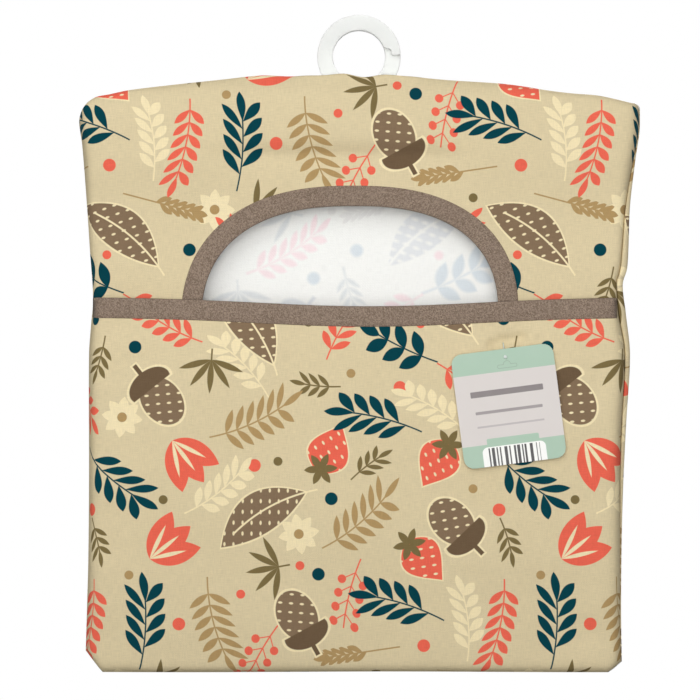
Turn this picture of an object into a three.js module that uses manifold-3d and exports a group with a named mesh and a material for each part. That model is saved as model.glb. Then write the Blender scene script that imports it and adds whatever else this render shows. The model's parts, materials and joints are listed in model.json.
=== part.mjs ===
import * as THREE from 'three';
import { mergeVertices } from 'three/addons/utils/BufferGeometryUtils.js';
import ManifoldModule from 'manifold-3d';

// Peg bag: a cotton bag with an arched mouth, hung from a clothes line by two flat
// hangers whose hooks face opposite ways and close into a ring.
// Millimetres, +Z up, the front faces -Y, the origin is where the line bears on the hooks.

const wasm = await ManifoldModule();
wasm.setup();

// Hangers
const HOOK_INNER_RADIUS = 14;
const HOOK_BAND = 8.4;
const HOOK_TIP_BAND = 4.8;
const HOOK_TIP_ANGLE = THREE.MathUtils.degToRad(8);
const HOOK_TAPER_ANGLE = THREE.MathUtils.degToRad(44);
const HOOK_ROOT_ANGLE = THREE.MathUtils.degToRad(225);
const HOOK_HEIGHT = 26.3;
const PLATE_THICKNESS = 3;
const PLATE_PARTING = 0.4;
const PLATE_HALF_SPAN = 136;
const PLATE_DROP = 11.2;
const PLATE_MIDDLE_DEPTH = 36.7;
const PLATE_ARM_DEPTH = 14;
const PLATE_FLAT_HALF = 62;
const PLATE_END_RADIUS = 5;
const SPREAD_ANGLE = THREE.MathUtils.degToRad(4);

// Cloth layers and the gaps that keep them apart
const CLOTH = 0.9;
const BINDING = 0.8;
const LAYER_GAP = 0.3;
const SEAM_GAP = 0.3;
const SEAT_GAP = 0.3;

// Bag outline
const BAG_HEIGHT = 319.5;
const SHOULDER_EASE = 14;
const SHOULDER_RADIUS = 9;
const WAIST_NARROWING = 7.5;
const WAIST_CURVE = 1.5;
const BASE_WIDENING = 1.2;
const BASE_WIDENING_LENGTH = 35;
const CORNER_WIDTH = 8;
const CORNER_HEIGHT = 10;

// Bag depth: from the seam out to the rim, and from the rim up to the flat faces
const HANGER_ROOM = 3.6;
const YOKE_SWELL = 2.8;
const BACK_SWELL = 3.7;
const ROOF_FALL = 1.2;
const RIM_INSET = 5;
const FACE_TOP_INSET = 9;
const FACE_SIDE_INSET = 18;

// Mouth, bindings and slit
const MOUTH_OFFSET = -4.5;
const MOUTH_HALF_WIDTH = 78;
const MOUTH_RISE = 50.2;
const MOUTH_ROUNDNESS = 2.15;
const ARCH_BINDING_WIDTH = 11;
const MOUTH_TOP_DROP = 68.6;
const POCKET_SAG = 4.5;
const POCKET_BINDING_HEIGHT = 11;
const YOKE_TUCK = 8;
const TUCK_SIDE_CLEARANCE = 6;
const SLIT_END_ROOM = 13.6;
const SLIT_CLEARANCE = 0.6;

// Swing tag and its nylon fastener
const TAG_WIDTH = 54;
const TAG_HEIGHT = 61;
const TAG_THICKNESS = 0.5;
const TAG_CORNER_RADIUS = 5.4;
const TAG_TILT = THREE.MathUtils.degToRad(8);
const TAG_SIDE_OFFSET = -1.6;
const TAG_TOP_OFFSET = 3.3;
const TAG_HOLE_MARGIN = 4.3;
const FASTENER_SIDE_INSET = 65.5;
const FASTENER_BELOW_BINDING = 8.8;
const FILAMENT_DIAMETER = 0.8;
const FILAMENT_CLEARANCE = 0.4;
const BAR_DIAMETER = 1;
const BAR_LENGTH = 9;
const KNOB_DIAMETER = 2.8;
const KNOB_THICKNESS = 0.6;

// Smoothness of the curves
const ARC_STEPS = 20;
const TOP_STEPS = 9;
const SHOULDER_STEPS = 4;
const SIDE_STEPS = 7;
const BASE_STEPS = 4;
const MOUTH_STEPS = 32;
const SAG_STEPS = 14;
const ROUND_SIDES = 12;
const FILAMENT_STEPS = 16;
const FILAMENT_SIDES = 8;

// Reach of a cutting solid past the piece that it cuts
const CUT_MARGIN = 6;

// Points closer than this are one point
const MERGE_DISTANCE = 0.0001;

// Places worked out from the sizes above
const hookOuterRadius = HOOK_INNER_RADIUS + HOOK_BAND;
const hookCentreZ = -HOOK_INNER_RADIUS;
const stackHalf = PLATE_PARTING / 2 + PLATE_THICKNESS;
const rimDepth = stackHalf + HANGER_ROOM;
const yokeDepth = rimDepth + YOKE_SWELL;
const backDepth = rimDepth + BACK_SWELL;
const pocketDepth = yokeDepth + 2 * BINDING + 3 * LAYER_GAP + CLOTH;
const seatFall = CLOTH + (ROOF_FALL * stackHalf) / (rimDepth - CLOTH) + SEAT_GAP;
const bagTopZ = -HOOK_HEIGHT + seatFall;
const bagBottomZ = bagTopZ - BAG_HEIGHT;
const shoulderHalf = PLATE_HALF_SPAN + SHOULDER_EASE;
const waistHalf = shoulderHalf - WAIST_NARROWING;
const baseHalf = waistHalf + BASE_WIDENING;
const bandEndZ = bagTopZ - MOUTH_TOP_DROP - MOUTH_RISE;
const bandLowestZ = bandEndZ - POCKET_SAG - POCKET_BINDING_HEIGHT;
const tuckHalf = waistHalf - FACE_SIDE_INSET - TUCK_SIDE_CLEARANCE;
const tuckBottomZ = bandLowestZ - YOKE_TUCK;
const slitHalfLength = hookOuterRadius + SLIT_END_ROOM;
const fastenerX = waistHalf - FASTENER_SIDE_INSET;
const fastenerZ = bandLowestZ - FASTENER_BELOW_BINDING;
const tagStandOff = FILAMENT_DIAMETER + 2 * FILAMENT_CLEARANCE;
const tagHoleDrop = TAG_TOP_OFFSET + TAG_HOLE_MARGIN;

// Turn a closed geometry into a solid that can be joined and cut
function solidOf(geometry) {
  const bare = geometry.clone();
  bare.deleteAttribute('normal');
  bare.deleteAttribute('uv');
  const merged = mergeVertices(bare, MERGE_DISTANCE);
  return new wasm.Manifold(new wasm.Mesh({
    numProp: 3,
    vertProperties: Float32Array.from(merged.attributes.position.array),
    triVerts: Uint32Array.from(merged.index.array),
  }));
}

function geometryOf(solid) {
  const mesh = solid.getMesh();
  const geometry = new THREE.BufferGeometry();
  geometry.setAttribute('position', new THREE.Float32BufferAttribute(mesh.vertProperties, 3));
  geometry.setIndex(Array.from(mesh.triVerts));
  geometry.computeVertexNormals();
  return geometry;
}

// A shape drawn in X and Z, from its back face at backY forward by depth
function upright(shape, backY, depth) {
  const options = { depth, bevelEnabled: false, curveSegments: ARC_STEPS };
  const geometry = new THREE.ExtrudeGeometry(shape, options);
  geometry.rotateX(Math.PI / 2);
  geometry.translate(0, backY, 0);
  return solidOf(geometry);
}

function block(minX, maxX, minY, maxY, minZ, maxZ) {
  const geometry = new THREE.BoxGeometry(maxX - minX, maxY - minY, maxZ - minZ);
  geometry.translate((minX + maxX) / 2, (minY + maxY) / 2, (minZ + maxZ) / 2);
  return solidOf(geometry);
}

// A skin through rings of points, closed at both ends
function loft(rings) {
  const count = rings[0].length;
  const points = rings.flat();
  const faces = [];
  for (let r = 0; r + 1 < rings.length; r += 1) {
    for (let i = 0; i < count; i += 1) {
      const a = r * count + i;
      const b = r * count + ((i + 1) % count);
      faces.push([a, b, b + count], [a, b + count, a + count]);
    }
  }
  const contour = rings[0].map((p) => new THREE.Vector2(p.x, p.z));
  const lastStart = (rings.length - 1) * count;
  for (const [a, b, c] of THREE.ShapeUtils.triangulateShape(contour, [])) {
    faces.push([c, b, a], [a + lastStart, b + lastStart, c + lastStart]);
  }
  let volume = 0;
  for (const [a, b, c] of faces) {
    volume += points[a].dot(points[b].clone().cross(points[c]));
  }
  const outward = volume > 0 ? faces : faces.map(([a, b, c]) => [a, c, b]);
  return new wasm.Manifold(new wasm.Mesh({
    numProp: 3,
    vertProperties: Float32Array.from(points.flatMap((p) => [p.x, p.y, p.z])),
    triVerts: Uint32Array.from(outward.flat()),
  }));
}

function smooth(t) {
  const u = THREE.MathUtils.clamp(t, 0, 1);
  return u * u * (3 - 2 * u);
}

// Outline of the bag
function bagTopAt(x) {
  return bagTopZ - PLATE_DROP * (x / PLATE_HALF_SPAN) ** 2;
}

const sideStartZ = bagTopAt(shoulderHalf) - SHOULDER_RADIUS;

function sideAt(z) {
  if (z > bandEndZ) {
    const t = THREE.MathUtils.clamp((sideStartZ - z) / (sideStartZ - bandEndZ), 0, 1);
    return shoulderHalf - WAIST_NARROWING * (1 - (1 - t) ** WAIST_CURVE);
  }
  return waistHalf + BASE_WIDENING * smooth((bandEndZ - z) / BASE_WIDENING_LENGTH);
}

function bagOutline(sideInset, topInset, bottomInset) {
  const half = [];
  const topEnd = shoulderHalf - sideInset - SHOULDER_RADIUS;
  for (let i = 0; i <= TOP_STEPS; i += 1) {
    const x = (topEnd * i) / TOP_STEPS;
    half.push([x, bagTopAt(x) - topInset]);
  }
  const cornerX = shoulderHalf - sideInset;
  const shoulder = new THREE.QuadraticBezierCurve(
    new THREE.Vector2(topEnd, bagTopAt(topEnd) - topInset),
    new THREE.Vector2(cornerX, bagTopAt(cornerX) - topInset),
    new THREE.Vector2(cornerX, sideStartZ - topInset),
  );
  for (const p of shoulder.getPoints(SHOULDER_STEPS).slice(1)) {
    half.push([p.x, p.y]);
  }
  for (let i = 1; i <= SIDE_STEPS; i += 1) {
    const z = THREE.MathUtils.lerp(sideStartZ - topInset, bandEndZ, i / SIDE_STEPS);
    half.push([sideAt(z) - sideInset, z]);
  }
  for (let i = 1; i <= BASE_STEPS; i += 1) {
    const z = bandEndZ - (BASE_WIDENING_LENGTH * i) / BASE_STEPS;
    half.push([sideAt(z) - sideInset, z]);
  }
  half.push([baseHalf - sideInset, bagBottomZ + bottomInset + CORNER_HEIGHT]);
  half.push([baseHalf - sideInset - CORNER_WIDTH, bagBottomZ + bottomInset]);
  const mirrored = half.slice(1).reverse().map(([x, z]) => [-x, z]);
  return [...half, ...mirrored].reverse();
}

// A tray-shaped block on one side of the seam: grow moves every wall outward
function tray(side, depth, grow, startY) {
  const rows = [
    [startY, -grow, -grow, -grow],
    [rimDepth + grow, RIM_INSET - grow, ROOF_FALL - grow, RIM_INSET - grow],
    [depth + grow, FACE_SIDE_INSET - grow, FACE_TOP_INSET - grow, FACE_SIDE_INSET - grow],
  ];
  return loft(rows.map(([y, sideInset, topInset, bottomInset]) => (
    bagOutline(sideInset, topInset, bottomInset).map(([x, z]) => new THREE.Vector3(x, side * y, z))
  )));
}

// The wall between two offsets of a tray, open at the seam
function trayWall(side, depth, outerGrow, innerGrow) {
  const outer = tray(side, depth, outerGrow, SEAM_GAP / 2);
  return outer.subtract(tray(side, depth, innerGrow, -CUT_MARGIN));
}

// Lines along the mouth's lower edge
function bandTopAt(x) {
  return bandEndZ - POCKET_SAG * (1 - (x / waistHalf) ** 2);
}

function frontBelow(drop) {
  const reach = shoulderHalf + CUT_MARGIN;
  const shape = new THREE.Shape();
  shape.moveTo(-reach, bagBottomZ - CUT_MARGIN);
  shape.lineTo(reach, bagBottomZ - CUT_MARGIN);
  for (let i = SAG_STEPS; i >= 0; i -= 1) {
    const x = THREE.MathUtils.lerp(-reach, reach, i / SAG_STEPS);
    shape.lineTo(x, bandTopAt(x) - drop);
  }
  return upright(shape, CUT_MARGIN, pocketDepth + 3 * CUT_MARGIN);
}

// The mouth's arch, moved outward by grow and carried down to floorZ
function mouthShape(grow, floorZ) {
  const width = MOUTH_HALF_WIDTH + grow;
  const rise = MOUTH_RISE + grow;
  const shape = new THREE.Shape();
  shape.moveTo(MOUTH_OFFSET + width, floorZ);
  for (let i = 0; i <= MOUTH_STEPS; i += 1) {
    const angle = (Math.PI * i) / MOUTH_STEPS;
    const across = Math.sign(Math.cos(angle)) * Math.abs(Math.cos(angle)) ** (2 / MOUTH_ROUNDNESS);
    const up = Math.abs(Math.sin(angle)) ** (2 / MOUTH_ROUNDNESS);
    shape.lineTo(MOUTH_OFFSET + width * across, bandEndZ + rise * up);
  }
  shape.lineTo(MOUTH_OFFSET - width, floorZ);
  return shape;
}

// Hanger: a plate with drooping arms and one hook
function plateShape() {
  const topAt = (x) => -HOOK_HEIGHT - PLATE_DROP * (x / PLATE_HALF_SPAN) ** 2;
  const armTopZ = topAt(PLATE_HALF_SPAN);
  const armBottomZ = armTopZ - PLATE_ARM_DEPTH;
  const middleBottomZ = -HOOK_HEIGHT - PLATE_MIDDLE_DEPTH;
  const inner = PLATE_HALF_SPAN - PLATE_END_RADIUS;
  const shape = new THREE.Shape();
  shape.moveTo(-PLATE_FLAT_HALF, middleBottomZ);
  shape.lineTo(PLATE_FLAT_HALF, middleBottomZ);
  shape.lineTo(inner, armBottomZ);
  shape.quadraticCurveTo(PLATE_HALF_SPAN, armBottomZ, PLATE_HALF_SPAN, armBottomZ + PLATE_END_RADIUS);
  shape.lineTo(PLATE_HALF_SPAN, armTopZ - PLATE_END_RADIUS);
  shape.quadraticCurveTo(PLATE_HALF_SPAN, armTopZ, inner, topAt(inner));
  for (let i = 1; i < 2 * TOP_STEPS; i += 1) {
    const x = THREE.MathUtils.lerp(inner, -inner, i / (2 * TOP_STEPS));
    shape.lineTo(x, topAt(x));
  }
  shape.lineTo(-inner, topAt(inner));
  shape.quadraticCurveTo(-PLATE_HALF_SPAN, armTopZ, -PLATE_HALF_SPAN, armTopZ - PLATE_END_RADIUS);
  shape.lineTo(-PLATE_HALF_SPAN, armBottomZ + PLATE_END_RADIUS);
  shape.quadraticCurveTo(-PLATE_HALF_SPAN, armBottomZ, -inner, armBottomZ);
  return shape;
}

function hookShape() {
  const tipInner = hookOuterRadius - HOOK_TIP_BAND;
  const tipMiddle = hookOuterRadius - HOOK_TIP_BAND / 2;
  const shape = new THREE.Shape();
  shape.absarc(0, hookCentreZ, hookOuterRadius, HOOK_TIP_ANGLE, HOOK_ROOT_ANGLE, false);
  const rootX = hookOuterRadius * Math.cos(HOOK_ROOT_ANGLE);
  const stemEndZ = -HOOK_HEIGHT - HOOK_BAND;
  shape.lineTo(rootX, stemEndZ);
  shape.lineTo(rootX + HOOK_BAND, stemEndZ);
  for (let i = 0; i <= 2 * ARC_STEPS; i += 1) {
    const angle = THREE.MathUtils.lerp(HOOK_ROOT_ANGLE, HOOK_TIP_ANGLE, i / (2 * ARC_STEPS));
    const taper = smooth((HOOK_TAPER_ANGLE - angle) / (HOOK_TAPER_ANGLE - HOOK_TIP_ANGLE));
    const radius = THREE.MathUtils.lerp(HOOK_INNER_RADIUS, tipInner, taper);
    shape.lineTo(radius * Math.cos(angle), hookCentreZ + radius * Math.sin(angle));
  }
  const capX = tipMiddle * Math.cos(HOOK_TIP_ANGLE);
  const capZ = hookCentreZ + tipMiddle * Math.sin(HOOK_TIP_ANGLE);
  shape.absarc(capX, capZ, HOOK_TIP_BAND / 2, HOOK_TIP_ANGLE + Math.PI, HOOK_TIP_ANGLE + 2 * Math.PI, false);
  return shape;
}

function hangerSolid() {
  const faceY = -PLATE_PARTING / 2;
  return upright(plateShape(), faceY, PLATE_THICKNESS).add(upright(hookShape(), faceY, PLATE_THICKNESS));
}

// The slit in the top seam that the hooks pass through
function slitCut() {
  const lean = (PLATE_MIDDLE_DEPTH + seatFall) * Math.tan(SPREAD_ANGLE);
  const frontY = -stackHalf - SLIT_CLEARANCE;
  const backY = stackHalf + lean + SLIT_CLEARANCE;
  const topZ = bagTopZ + CUT_MARGIN;
  return block(-slitHalfLength, slitHalfLength, frontY, backY, -HOOK_HEIGHT - CLOTH, topZ);
}

// Cloth panels
function backPanel() {
  return trayWall(1, backDepth, 0, -CLOTH).subtract(slitCut());
}

function frontYoke() {
  const reach = shoulderHalf + CUT_MARGIN;
  const farY = -yokeDepth - CUT_MARGIN;
  const sideFloorZ = bandEndZ + LAYER_GAP;
  const lowest = bagBottomZ - CUT_MARGIN;
  const mouth = upright(mouthShape(BINDING + LAYER_GAP, tuckBottomZ - CUT_MARGIN), 0, yokeDepth + CUT_MARGIN);
  return trayWall(-1, yokeDepth, 0, -CLOTH)
    .subtract(block(-reach, reach, farY, CUT_MARGIN, lowest, tuckBottomZ))
    .subtract(block(tuckHalf, reach, farY, CUT_MARGIN, lowest, sideFloorZ))
    .subtract(block(-reach, -tuckHalf, farY, CUT_MARGIN, lowest, sideFloorZ))
    .subtract(mouth)
    .subtract(slitCut());
}

function roundBar(diameter, length) {
  return new THREE.CylinderGeometry(diameter / 2, diameter / 2, length, ROUND_SIDES);
}

function pocketPanel() {
  const holeLength = 2 * CUT_MARGIN;
  const hole = roundBar(FILAMENT_DIAMETER + 2 * FILAMENT_CLEARANCE, holeLength);
  hole.translate(fastenerX, -pocketDepth, fastenerZ);
  return trayWall(-1, pocketDepth, 0, -CLOTH)
    .intersect(frontBelow(BINDING + LAYER_GAP))
    .subtract(solidOf(hole));
}

// Bindings: folded strips that wrap a cut edge front and back
function pocketBinding() {
  const skin = LAYER_GAP + BINDING;
  const strip = frontBelow(0).subtract(frontBelow(POCKET_BINDING_HEIGHT));
  const groove = trayWall(-1, pocketDepth, LAYER_GAP, -CLOTH - LAYER_GAP).intersect(frontBelow(BINDING));
  return trayWall(-1, pocketDepth, skin, -CLOTH - skin).intersect(strip).subtract(groove);
}

function archBinding() {
  const skin = LAYER_GAP + BINDING;
  const floorZ = tuckBottomZ;
  const outerY = -yokeDepth - skin;
  const innerY = -yokeDepth + CLOTH + skin;
  const band = upright(mouthShape(ARCH_BINDING_WIDTH, floorZ), innerY, innerY - outerY);
  const opening = upright(mouthShape(0, floorZ - CUT_MARGIN), innerY + CUT_MARGIN, 3 * CUT_MARGIN);
  const grooveDepth = CLOTH + 2 * LAYER_GAP;
  const grooveBackY = -yokeDepth + CLOTH + LAYER_GAP;
  const grooveShape = mouthShape(ARCH_BINDING_WIDTH + CUT_MARGIN, floorZ - CUT_MARGIN);
  const web = upright(mouthShape(BINDING, floorZ - CUT_MARGIN), grooveBackY, grooveDepth);
  const groove = upright(grooveShape, grooveBackY, grooveDepth).subtract(web);
  return band.subtract(opening).subtract(groove);
}

// Swing tag and fastener, drawn about the fastener's hole in the cloth
function tagSolid() {
  const left = TAG_SIDE_OFFSET - TAG_WIDTH / 2;
  const right = TAG_SIDE_OFFSET + TAG_WIDTH / 2;
  const top = -TAG_TOP_OFFSET;
  const bottom = top - TAG_HEIGHT;
  const r = TAG_CORNER_RADIUS;
  const shape = new THREE.Shape();
  shape.moveTo(left + r, bottom);
  shape.absarc(right - r, bottom + r, r, -Math.PI / 2, 0, false);
  shape.absarc(right - r, top - r, r, 0, Math.PI / 2, false);
  shape.absarc(left + r, top - r, r, Math.PI / 2, Math.PI, false);
  shape.absarc(left + r, bottom + r, r, Math.PI, 1.5 * Math.PI, false);
  const hole = new THREE.Path();
  hole.absarc(0, -tagHoleDrop, FILAMENT_DIAMETER / 2 + FILAMENT_CLEARANCE, 0, 2 * Math.PI, true);
  shape.holes.push(hole);
  return upright(shape, -pocketDepth - tagStandOff, TAG_THICKNESS);
}

function fastenerSolid() {
  const insideY = -pocketDepth + CLOTH + LAYER_GAP + BAR_DIAMETER / 2;
  const runY = -pocketDepth - tagStandOff / 2;
  const frontY = -pocketDepth - tagStandOff - TAG_THICKNESS - LAYER_GAP;
  const bend = 2 * FILAMENT_DIAMETER;
  const path = new THREE.CurvePath();
  const outward = new THREE.Vector3(0, runY + bend / 2, 0);
  const runStart = new THREE.Vector3(0, runY, -bend);
  const runEnd = new THREE.Vector3(0, runY, -tagHoleDrop + bend);
  const forward = new THREE.Vector3(0, runY - bend / 2, -tagHoleDrop);
  path.add(new THREE.LineCurve3(new THREE.Vector3(0, insideY, 0), outward));
  path.add(new THREE.QuadraticBezierCurve3(outward, new THREE.Vector3(0, runY, 0), runStart));
  path.add(new THREE.LineCurve3(runStart, runEnd));
  path.add(new THREE.QuadraticBezierCurve3(runEnd, new THREE.Vector3(0, runY, -tagHoleDrop), forward));
  path.add(new THREE.LineCurve3(forward, new THREE.Vector3(0, frontY - KNOB_THICKNESS / 2, -tagHoleDrop)));
  const section = new THREE.Shape();
  section.absarc(0, 0, FILAMENT_DIAMETER / 2, 0, 2 * Math.PI, false);
  const options = {
    steps: FILAMENT_STEPS,
    curveSegments: FILAMENT_SIDES,
    bevelEnabled: false,
    extrudePath: path,
  };
  const filament = new THREE.ExtrudeGeometry(section, options);
  const bar = roundBar(BAR_DIAMETER, BAR_LENGTH);
  bar.rotateZ(Math.PI / 2);
  bar.translate(0, insideY, 0);
  const knob = roundBar(KNOB_DIAMETER, KNOB_THICKNESS);
  knob.translate(0, frontY - KNOB_THICKNESS / 2, -tagHoleDrop);
  return solidOf(filament).add(solidOf(bar)).add(solidOf(knob));
}

// Finishes
function finish(color, roughness) {
  return new THREE.MeshStandardMaterial({ color, roughness, metalness: 0 });
}

function piece(name, solid, material) {
  const mesh = new THREE.Mesh(geometryOf(solid), material);
  mesh.name = name;
  return mesh;
}

const pegBag = new THREE.Group();
pegBag.name = 'peg_bag';

const frontHanger = piece('front_hanger', hangerSolid(), finish(0xf4f5f0, 0.45));
const rearHanger = piece('rear_hanger', hangerSolid(), finish(0xf4f5f0, 0.45));
rearHanger.rotation.z = Math.PI;
pegBag.add(frontHanger, rearHanger);

const bag = new THREE.Group();
bag.add(piece('back_panel', backPanel(), finish(0xd6c6a0, 0.9)));
bag.add(piece('front_yoke', frontYoke(), finish(0xd9c9a3, 0.9)));
bag.add(piece('pocket_panel', pocketPanel(), finish(0xd2c29d, 0.9)));
bag.add(piece('arch_binding', archBinding(), finish(0x98846f, 0.95)));
bag.add(piece('pocket_binding', pocketBinding(), finish(0x907d6c, 0.95)));
pegBag.add(bag);

const tag = new THREE.Group();
tag.position.set(fastenerX, 0, fastenerZ);
tag.rotation.y = -TAG_TILT;
tag.add(piece('swing_tag', tagSolid(), finish(0xd8d3cb, 0.7)));
tag.add(piece('tag_fastener', fastenerSolid(), finish(0xf2f2ee, 0.35)));
bag.add(tag);

export default pegBag;
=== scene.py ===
import json
import math
import random
from bisect import bisect_right
from functools import partialmethod

import bpy
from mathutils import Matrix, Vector, noise


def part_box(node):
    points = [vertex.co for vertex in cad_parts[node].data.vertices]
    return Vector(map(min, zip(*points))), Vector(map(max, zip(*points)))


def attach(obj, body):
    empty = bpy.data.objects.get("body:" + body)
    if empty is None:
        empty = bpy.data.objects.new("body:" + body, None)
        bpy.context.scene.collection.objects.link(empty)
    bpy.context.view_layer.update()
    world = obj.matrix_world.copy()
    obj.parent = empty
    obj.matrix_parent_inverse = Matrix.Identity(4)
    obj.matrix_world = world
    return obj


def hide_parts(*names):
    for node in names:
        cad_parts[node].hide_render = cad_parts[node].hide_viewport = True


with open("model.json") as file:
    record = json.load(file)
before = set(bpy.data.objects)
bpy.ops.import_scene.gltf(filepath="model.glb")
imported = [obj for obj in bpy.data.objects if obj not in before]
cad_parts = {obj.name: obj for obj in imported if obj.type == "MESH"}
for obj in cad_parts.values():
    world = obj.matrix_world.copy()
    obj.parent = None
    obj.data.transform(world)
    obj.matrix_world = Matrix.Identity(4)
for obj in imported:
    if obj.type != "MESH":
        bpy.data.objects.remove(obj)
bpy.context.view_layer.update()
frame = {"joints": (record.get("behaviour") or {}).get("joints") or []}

# A cotton peg bag on two flat hangers, in its finished look.
# Sizes are in millimetres until a mesh is made: +X right, +Z up, the front faces -Y.
MM = 0.001

# View: the photograph's frame and the pixel where the clothes line bears
PHOTO_PIXELS = 700
PHOTO_SCALE = 0.535
ORIGIN_PIXEL = (359, 29.5)
CAMERA_DISTANCE = 2000
FRAMED_DEPTH = 8
SENSOR_WIDTH = 36

# Stage
FLOOR_DROP = 60
FLOOR_RADIUS = 700
FLOOR_SIDES = 96
SHADOW_RADIUS = 420
FLOOR_WHITE = 0.62
WORLD_LIGHT = 0.25
LIT_PLACE = (0, 0, -170)
LAMPS = (
    ("key", (-420, -1480, 560), 1800, 15.5),
    ("fill", (100, -1650, -160), 1300, 13.3),
    ("back", (400, 1300, 900), 900, 21),
)

# Hangers
HOOK_INNER_RADIUS = 14
HOOK_TIP_BAND = 4.8
HOOK_TIP_ANGLE = math.radians(2)
HOOK_TAPER_ANGLE = math.radians(22)
HOOK_STEP_SHARE = 0.6
HOOK_ROOT_ANGLE = math.radians(225)
PLATE_TOP = -26.3
PLATE_DROP = 14
PLATE_ARM_DEPTH = 14
PLATE_FLAT_HALF = 62
PLATE_END_RADIUS = 5
PLATE_BEVEL = 0.45
PLATE_BEVEL_STEPS = 4
BEVEL_ANGLE = math.radians(50)
SHARP_ANGLE = math.radians(35)

# Cloth outline: the side seams as (height, place) points
CLOTH = 0.5
SEAM_THIN = 1.5
LEFT_SEAM = (
    (-344, -146.9), (-310, -146.1), (-285, -145.4), (-240, -145.0), (-174, -145.0), (-158, -143.9),
    (-144, -142.8), (-118, -144.5), (-94, -146.1), (-62, -148.6), (-47, -150.4),
)
RIGHT_EDGE = (
    (-344, 141.2), (-310, 140.8), (-270, 141.2), (-240, 142.1), (-210, 143.6), (-174, 145.6), (-152, 143.4),
    (-136, 141.7), (-128, 144.0), (-116, 144.8), (-94, 145.6), (-70, 148.4), (-50, 150.9),
)
SEAM_LIFT = 0.9
SEAM_GROOVE = 1.3
SEAM_GROOVE_HALF = 0.6
SEAM_GROOVE_WRAP = 3
SEAM_WRAP = (
    (-320, 0.5), (-270, 0.9), (-225, 2.4), (-170, 3.2), (-152, 4.3), (-140, 3.6), (-128, 4.0), (-112, 3.4),
    (-87, 2.2), (-66, 1.0), (-50, 0.5),
)
SHOULDER_HEIGHT = -42
TOP_LINE = (
    (-150, -36.4), (-136, -34.9), (-124, -32.4), (-98, -29.2), (-72, -26.4), (-59, -24.9), (-51, -24.3),
    (-36, -24.9), (-18, -24.5), (4, -24.6), (24, -24.9), (50, -27.0), (76, -28.7), (88, -30.2),
    (101, -32.4), (114, -34.0), (128, -35.2), (138, -37.3), (146, -39.2), (152, -39.8),
)
TOP_EASE = 0.35
TOP_WAVE = 1.1
TOP_WAVE_REACH = 16
TOP_WAVE_SHIFT = 3.5
TOP_WAVE_LENGTH = 4.2
HEM_WAVE = 0.2
HEM_WAVE_LENGTH = 37
HEM_WAVE_PHASE = 1
HEM_DROP = 0.6
LEFT_SHOULDER = (12, 14)
RIGHT_SHOULDER = (2.5, 3)
LEFT_CORNER = (9.0, 11.5, 1.0)
RIGHT_CORNER = (6.6, 5.8, 1.0)
SLIT_HALF = 28
SLIT_EASE = 10

# Cloth depth from the seam, as (height, depth) points
YOKE_DEPTH = ((-165, 5.8), (-130, 5.8), (-95, 5.9), (-66, 9.8), (-46, 10.6), (-34, 9.2), (-24, 4.6))
YOKE_LEAST = 4.3
POCKET_DEPTH = (
    (-344, 8.6), (-318, 9.8), (-280, 11.2), (-230, 12.0), (-174, 12.1), (-152, 10.6), (-143, 10.0),
)
BACK_DEPTH = ((-344, 7.0), (-310, 8.8), (-240, 10.0), (-120, 9.0), (-60, 7.6), (-24, 7.2))
SLIT_BACK_ROOM = 2.0
SLIT_ROOM_TOP = -24
SLIT_ROOM_TOP_EASE = 6
SLIT_ROOM_FOOT = -110
SLIT_ROOM_FOOT_EASE = 40
BACK_FOLDS = 0.3
DEPTH_EASE = 0.8
SIDE_STRETCH = 0.6
SIDE_ROUND = 1.8
HEM_ROUND = 1.2
ROOF_ROUND = 0.22
CREASE_MIDDLE = -10
CREASE_HALF = 42
CREASE_EASE = 40
CREASE_DROP = 3.8
CREASE_DEPTH = 6.0
CREASE_ABOVE = 5.0
CREASE_BELOW = 15
CREASE_KEEN = 1.4
CREASE_SWAY = 2.5
CREASE_SWAY_SIZE = 31
CREASE_FADE = 0.25
CREASE_FADE_SIZE = 23
DRAPE_WIDE = 2.1
DRAPE_WIDE_SIZE = (62, 48)
DRAPE_FINE = 0.4
DRAPE_FINE_SIZE = (19, 26)
DRAPE_AT_BAND = 0.3
DRAPE_BAND_REACH = 32
SEAM_PUCKER = 1.215
SEAM_PUCKER_PITCH = 17
SEAM_PUCKER_DEPTH = 40
SEAM_PUCKER_REACH = 13
TAG_FOLDS = (
    ((-5, -1.4), (10, 2.6), 3.2, 3.0),
    ((-1, 2.0), (-10, 9.5), 1.2, 3.0),
    ((6, 7.5), (17, 14.0), 0.8, 3.4),
)

# Seeds that give each panel its own folds, and the crease its own sway and fading
YOKE_SEED = 2.0
POCKET_SEED = 9.0
BACK_SEED = 17.0
CREASE_SWAY_SEED = 4.0
CREASE_FADE_SEED = 9.0

# Mouth and bindings
MOUTH_ROUNDNESS = 2.45
MOUTH_SPREAD = 1.4
MOUTH_DROP = 1.4
MOUTH_LEAN = (-0.6, 1.5)
BINDING_WIDTH = 11
BINDING_CLOTH = 0.5
TAPE_BACK_SHIFT = 30
BAND_END_INSET = 0.4
POCKET_SAG = 4.9
POCKET_SAG_MIDDLE = 5
POCKET_SAG_REACH = 84
CUT_EDGE = 0.6
YOKE_TUCK = 12

# Stitching
STITCH_LENGTH = 2.3
STITCH_GAP = 0.5
STITCH_RADIUS = 0.17
STITCH_INSET = 1.5
STITCH_POINTS = 4
STITCH_SIDES = 6
STITCH_END_SINK = 0.9
STITCH_END_RADIUS = 0.6

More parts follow.
